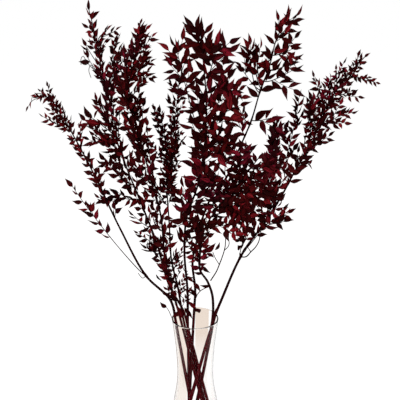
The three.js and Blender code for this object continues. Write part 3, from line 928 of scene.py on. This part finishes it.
leafLook = {
    # the last stop of both ramps is painted highlight and sheen, and the others are the leaves' own
    # dye
    "tones": [(0.0, (0.010, 0.0002, 0.0003)), (0.5, (0.023, 0.0003, 0.0005)),
              (0.85, (0.047, 0.0006, 0.0012)), (1.0, (0.12, 0.003, 0.006))],
    "plums": [(0.0, (0.010, 0.0002, 0.002)), (0.5, (0.023, 0.0003, 0.004)),
              (0.85, (0.047, 0.0006, 0.010)), (1.0, (0.12, 0.003, 0.03))],
    "dyeAndSheenStreaks": (7.0, 1.3, 40.0),  # how fast the dye and the painted sheen change across, along and from leaf to leaf
    "unevenness": 1.3,
    "middleTone": 0.65,
    "patches": (9.0, [(0.54, (0, 0, 0)), (0.75, (0.6, 0.6, 0.6))]),  # of plum in the bunch
    "veins": 11,
    "relief": (0.25, -8.0, 0.06),  # height of the veins and of the midrib, and how wide that is
    "bump": (0.25, 0.0004),  # strength and depth
    "roughness": 0.5,
    "specular": 0.04,
}


def leafMaterial():
    material, tree, shader = newMaterial("burgundyLeaf")
    tone = put(tree, "ShaderNodeAttribute", attribute_name="tone")["Fac"]
    spot = put(tree, "ShaderNodeTexCoord")
    # dye that ran along each leaf, and painted sheen: the brightest streaks are painted crimson
    # highlights
    uv = put(tree, "ShaderNodeSeparateXYZ", {0: spot["UV"]})
    across, along, leaf = leafLook["dyeAndSheenStreaks"]
    dyeAndSheenStreaks = put(tree, "ShaderNodeCombineXYZ", {
        0: times(tree, uv[0], across), 1: times(tree, uv[1], along), 2: times(tree, tone, leaf)})[0]
    dyeAndSheen = put(tree, "ShaderNodeMath", {
        0: noise(tree, dyeAndSheenStreaks, 1.0, 2.0), 1: leafLook["unevenness"],
        2: minus(tree, tone, leafLook["middleTone"])}, operation="MULTIPLY_ADD")[0]
    crimson, plum = [ramp(tree, dyeAndSheen, leafLook[part]) for part in ("tones", "plums")]
    scale, stops = leafLook["patches"]
    tinted = ramp(tree, noise(tree, spot["Object"], scale, 1.0), stops)
    # fine veins that run along the leaf, and a raised midrib
    veins, rib, reach = leafLook["relief"]
    wave = arithmetic(tree, "SINE", times(tree, uv[0], math.tau * leafLook["veins"]))
    middle = arithmetic(tree, "ABSOLUTE", minus(tree, uv[0], 0.5))
    ridge = arithmetic(tree, "SMOOTH_MIN", middle, reach)
    height = arithmetic(tree, "ADD", times(tree, wave, veins), times(tree, ridge, rib))
    connect(tree, shader, {
        "Base Color": mixColours(tree, tinted, crimson, plum),
        "Normal": bump(tree, height, *leafLook["bump"]),
        "Roughness": leafLook["roughness"], "Specular IOR Level": leafLook["specular"]})
    return material


woodLook = {
    "bark": [(0.3, (0.004, 0.0004, 0.0006)), (0.6, (0.012, 0.0008, 0.0012)),
             (0.8, (0.04, 0.003, 0.005))],
    # painted light: lighter, redder wood for the stems' feet in the vase
    "foot": [(0.3, (0.018, 0.0005, 0.001)), (0.6, (0.05, 0.0012, 0.003)),
             (0.8, (0.085, 0.005, 0.010))],
    "footPaintedLight": (0.28, 0.23),  # the heights where there is none of it, and all
    "grain": ((3.0, 3.0, 26.0), 1.6, 4.0),  # how fast it changes around and along, scale, detail
    "bump": (0.4, 0.0006),
    "roughness": 0.6,
    "specular": 0.03,
}


def woodMaterial():
    material, tree, shader = newMaterial("darkTwig")
    grain = put(tree, "ShaderNodeAttribute", attribute_name="grain")["Vector"]
    stretch, scale, detail = woodLook["grain"]
    streaks = noise(tree, vectorMath(tree, "MULTIPLY", grain, stretch), scale, detail)
    # the feet in the vase are painted lighter and redder than the bark above them: painted light,
    # for the brighter light that reaches them in the glass
    bark, foot = [ramp(tree, streaks, woodLook[part]) for part in ("bark", "foot")]
    connect(tree, shader, {
        "Base Color": mixColours(tree, fadeByHeight(tree, *woodLook["footPaintedLight"]), bark, foot),
        "Normal": bump(tree, streaks, *woodLook["bump"]),
        "Roughness": woodLook["roughness"], "Specular IOR Level": woodLook["specular"]})
    return material


glassLook = {
    "tints": [(0.3, (0.990, 0.982, 0.974)), (0.7, (0.980, 0.968, 0.956))],
    "cloudScale": 14.0,
    "ringStretch": (10, 10, 70),
    "bump": (0.12, 0.001),
    "bending": 1.3,  # the index of refraction
    "mirror": (0.06, 0.05, 0.05, 1),
    "passing": (0.97, 0.94, 0.92, 1),  # the colour of light that comes straight through
}


def glassMaterial():
    material, tree, shader = newMaterial("clearGlass")
    spot = put(tree, "ShaderNodeTexCoord")["Object"]
    # a breath of tint that comes and goes, and rings left by the turning of the hot glass
    clouds = noise(tree, spot, glassLook["cloudScale"], 1.0)
    rings = noise(tree, vectorMath(tree, "MULTIPLY", spot, glassLook["ringStretch"]), 1.0, 1.0)
    connect(tree, shader, {
        "Base Color": ramp(tree, clouds, glassLook["tints"]),
        "Normal": bump(tree, rings, *glassLook["bump"]),
        "Roughness": 0.0, "IOR": glassLook["bending"], "Specular Tint": glassLook["mirror"],
        "Transmission Weight": 1.0})
    # light on the stems in the vase, and what they shine back, comes straight through
    path = put(tree, "ShaderNodeLightPath")
    shine = minus(tree, path["Is Glossy Ray"], path["Is Singular Ray"])
    lets = arithmetic(tree, "MAXIMUM", path["Is Shadow Ray"],
                      arithmetic(tree, "MAXIMUM", path["Is Diffuse Ray"], shine))
    clear = put(tree, "ShaderNodeBsdfTransparent", {"Color": glassLook["passing"]})[0]
    both = put(tree, "ShaderNodeMixShader", {0: lets, 1: shader.outputs[0], 2: clear})[0]
    connect(tree, tree.nodes["Material Output"], {"Surface": both})
    return material


burgundyLeaf, darkTwig, clearGlass = leafMaterial(), woodMaterial(), glassMaterial()

vase = {
    "wall": 3, "floor": growth["vaseFloor"], "flat": 44, "facets": 128,
    "footRound": (2.4, 0.6),  # out and up from the flat underside
    "bowlRound": 3,  # inside, where the wall meets the floor
    "innerEnds": (8, 2),  # left free for the roundings over the floor and under the lip
    "outline": [(47.5, 2.5), (50, 12), (49.2, 34), (45.2, 60), (40.8, 86), (37.8, 116),
                (38.2, 146), (40.4, 182), (43.8, 216), (48, 250)],
}


def smoothOutline(points, steps=6):
    ends = [points[0], *points, points[-1]]
    line = [Vector(points[0])]
    for a, b, c, d in zip(ends, ends[1:], ends[2:], ends[3:]):
        a, b, c, d = Vector(a), Vector(b), Vector(c), Vector(d)
        line += [cubic(b, c, (c - a) / 2, (d - b) / 2, k / steps) for k in range(1, steps + 1)]
    return line


def arc(centre, radius, start, stop, steps):
    return [Vector((centre[0] + radius * math.cos(math.radians(a)),
                    centre[1] + radius * math.sin(math.radians(a))))
            for a in (start + (stop - start) * k / steps for k in range(steps + 1))]


def buildVase():
    outer = smoothOutline(vase["outline"])
    mouth = outer[-1]
    wall, floor, lipRadius = vase["wall"], vase["floor"], vase["wall"] / 2
    lip = arc((mouth.x - wall / 2, mouth.y - lipRadius), lipRadius, 0, 180, 12)
    low, high = floor + vase["innerEnds"][0], mouth.y - vase["innerEnds"][1]
    inner = [Vector((p.x - wall, p.y)) for p in reversed(outer) if low < p.y < high]
    turn = vase["bowlRound"]
    bowl = arc((inner[-1].x - turn, floor + turn), turn, 0, -90, 6)
    outside = [p for p in outer if p.y < mouth.y - lipRadius]
    out, rise = vase["footRound"]
    foot = [Vector((vase["flat"], 0)), Vector((vase["flat"] + out, rise))]
    profile = foot + outside + lip + inner + bowl
    facets = vase["facets"]
    points = [(0, 0, 0)]
    for p in profile:
        for k in range(facets):
            angle = math.tau * k / facets
            points.append((p.x * math.cos(angle) * mm, p.x * math.sin(angle) * mm, p.y * mm))
    points.append((0, 0, floor * mm))
    faces = ringFaces(facets, len(profile))
    mesh = newMesh("clear_vase", points, faces, clearGlass, smooth=True)
    piece = addObject("clear_vase", mesh)
    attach(piece, "root")
    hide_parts("glass_vase")


buildVase()
print("vase ready")

# every stem: one piece of wood, and one of leaves in place of its shoots
wood, leaves = woodTree(), leafTree()
leafTotal, facesPerLeaf = 0, len(leafCollection.objects[0].data.polygons)
for number, (name, plan) in enumerate(stems.items()):
    woodLines, leafyLines = growStem(name, plan)
    leafLength, leafWidth = plan["leaf"]
    spreadLow, spreadHigh = plan["spread"]
    holder = lineMesh(f"{name}Lines", [line for line, _ in woodLines],
                      {"girth": [r for _, radii in woodLines for r in radii]})
    twigs = settle(holder, wood, {"Material": darkTwig}, f"{name}_twigs")
    holder = lineMesh(f"{name}Leafy", [line for line, _ in leafyLines],
                      {"size": [s for _, sizes in leafyLines for s in sizes]})
    foliage = settle(holder, leaves, {
        "Shapes": leafCollection, "Shape Count": len(leafShapes["shapes"]),
        "Leaf Length": leafLength * mm, "Leaf Width": leafWidth * mm,
        "Spread Low": spreadLow, "Spread High": spreadHigh,
        "Seed": number * leafShapes["seedStep"], "Material": burgundyLeaf,
    }, f"{name}_leaves")
    leafTotal += len(foliage.data.polygons) // facesPerLeaf
    nodes = [n for n in frame["nodes"] if n.startswith(f"{name}_shoot")]
    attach(twigs, "root")
    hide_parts(f"{name}_stem")
    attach(foliage, "root")
    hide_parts(*nodes)
print(f"stems ready, {leafTotal} leaves")

for shape in list(leafCollection.objects):
    bpy.data.objects.remove(shape)
bpy.data.collections.remove(leafCollection)
